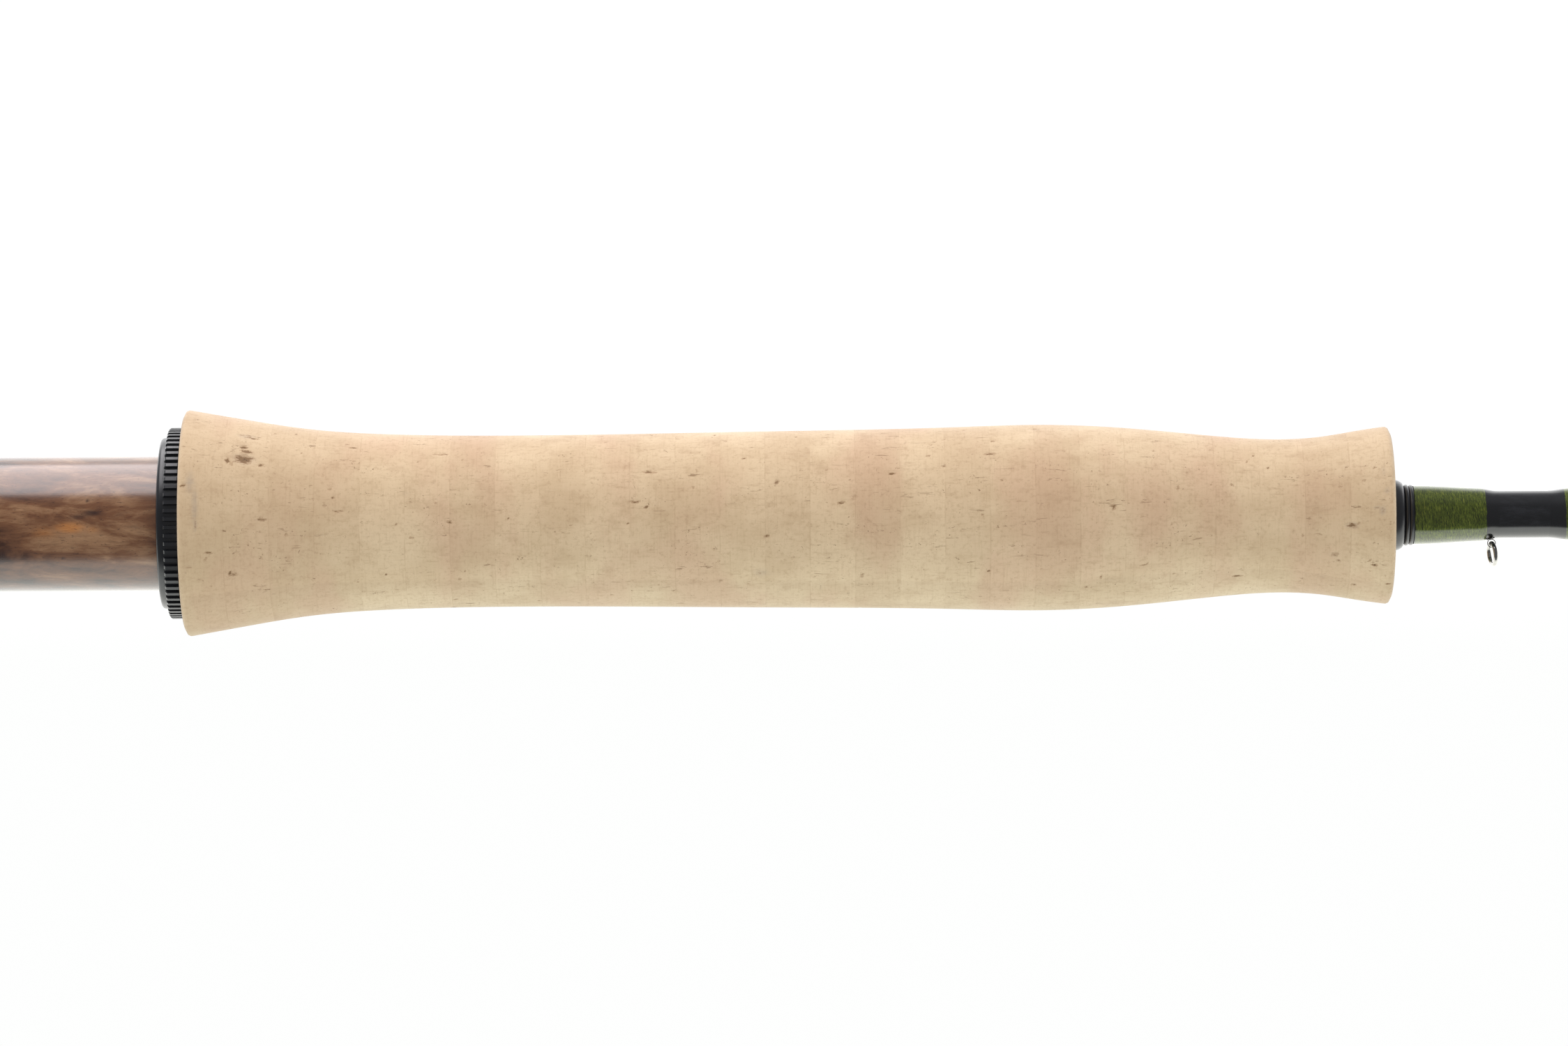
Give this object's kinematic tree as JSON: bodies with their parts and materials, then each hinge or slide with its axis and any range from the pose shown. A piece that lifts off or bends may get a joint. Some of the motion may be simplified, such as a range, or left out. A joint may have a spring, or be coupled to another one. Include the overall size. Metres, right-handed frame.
{
  "type": "fly fishing rod",
  "caption": "Light fly fishing rod in four spigot-jointed sections, with a cork full-wells grip, a wood reel seat, hook keeper and wire line guides.",
  "frame": {"origin": "centre of the butt cap's end face", "axes": "+X along the rod from the butt to the tip; -Z to the side of the reel, the hook keeper and the line guides"},
  "size_m": [2.2847, 0.0322, 0.0329],
  "materials": {
    "anodised_black": "satin black anodising",
    "burl_wood": "gloss lacquer over burl",
    "cork": "sanded cork",
    "blank_black": "gloss varnish over dark fibre",
    "wrap_green": "metallic green thread under clear varnish",
    "bright_steel": "polished stainless wire",
    "guide_ceramic": "polished dark ceramic",
    "inner_plastic": "moulded bush",
    "spigot_fibre": "polished dark fibre"
  },
  "bodies": {
    "butt_section": {"butt_cap": "anodised_black", "threaded_barrel": "anodised_black", "wood_insert": "burl_wood", "seat_bushings": "inner_plastic", "fixed_hood": "anodised_black", "coin_edge_ring": "anodised_black", "cork_hood_rings": "cork", "cork_rings": "cork", "winding_check": "anodised_black", "butt_blank": "blank_black", "grip_wrap": "wrap_green", "band_wrap": "wrap_green", "keeper_strap": "bright_steel", "ferrule_wrap_1_lower": "wrap_green", "spigot_1": "spigot_fibre"},
    "sliding_hood": {"sliding_hood": "anodised_black"},
    "lock_nut": {"lock_nut": "anodised_black"},
    "keeper_ring": {"keeper_ring": "bright_steel"},
    "second_section": {"second_blank": "blank_black", "ferrule_wrap_1_upper": "wrap_green", "spigot_2": "spigot_fibre", "ferrule_wrap_2_lower": "wrap_green", "stripping_guide_frame": "bright_steel", "stripping_guide_ring": "guide_ceramic", "stripping_guide_wraps": "wrap_green", "snake_guides_second": "bright_steel", "snake_wraps_second": "wrap_green"},
    "third_section": {"third_blank": "blank_black", "ferrule_wrap_2_upper": "wrap_green", "spigot_3": "spigot_fibre", "ferrule_wrap_3_lower": "wrap_green", "snake_guides_third": "bright_steel", "snake_wraps_third": "wrap_green"},
    "tip_section": {"tip_blank": "blank_black", "ferrule_wrap_3_upper": "wrap_green", "snake_guides_tip": "bright_steel", "snake_wraps_tip": "wrap_green", "tip_top_tube": "bright_steel", "tip_top_loop": "bright_steel"}
  },
  "joints": [
    {"name": "hood_slide", "type": "slide", "parent": "butt_section", "child": "sliding_hood", "axis": [1, 0, 0], "range_m": [0, 0.018]},
    {"name": "nut_turn", "type": "hinge", "parent": "sliding_hood", "child": "lock_nut", "pos_m": [0.02, 0, 0], "axis": [1, 0, 0], "range_deg": [0, 4320]},
    {"name": "keeper_swing", "type": "hinge", "parent": "butt_section", "child": "keeper_ring", "pos_m": [0.29096, 0, -0.0041], "axis": [0, 1, 0], "range_deg": [-74, 80]},
    {"name": "ferrule_1", "type": "slide", "parent": "butt_section", "child": "second_section", "axis": [1, 0, 0], "range_m": [0, 0.045]},
    {"name": "ferrule_2", "type": "slide", "parent": "second_section", "child": "third_section", "axis": [1, 0, 0], "range_m": [0, 0.045]},
    {"name": "ferrule_3", "type": "slide", "parent": "third_section", "child": "tip_section", "axis": [1, 0, 0], "range_m": [0, 0.045]}
  ],
  "couplings": [
    {"joint": "nut_turn", "follows": "hood_slide", "rad_per_m": 4188.8}
  ]
}
